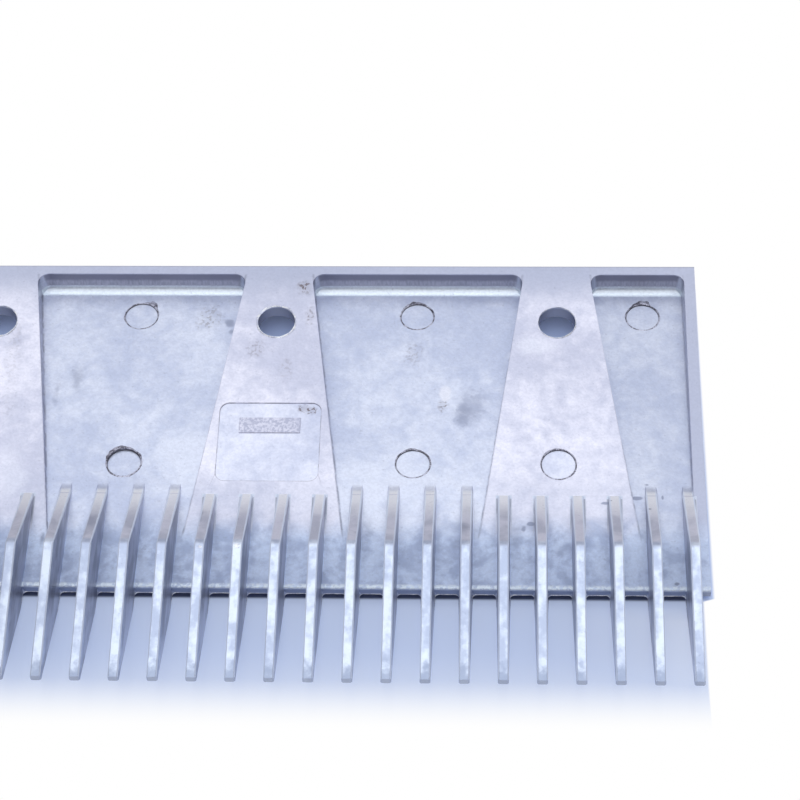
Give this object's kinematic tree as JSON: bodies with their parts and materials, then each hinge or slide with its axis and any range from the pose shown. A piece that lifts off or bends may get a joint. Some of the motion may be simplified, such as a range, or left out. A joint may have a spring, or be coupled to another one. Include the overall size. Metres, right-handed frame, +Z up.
{
  "type": "escalator comb plate",
  "caption": "Cast comb plate for an escalator landing: a row of tapered teeth on a ribbed plate, with pockets, lands and a line of bolt holes in its underside.",
  "frame": {"origin": "in the middle of the plate's outline, tips included, in the plane of the tread face that the plate rests on", "axes": "+X along the row of teeth, +Y from the teeth to the back edge, +Z up out of the underside that is bolted down; the plate lies on its tread face"},
  "size_m": [0.2028, 0.1188, 0.0146],
  "materials": {
    "cast_metal": "satin"
  },
  "bodies": {
    "root": {"comb_plate": "cast_metal"}
  },
  "joints": []
}
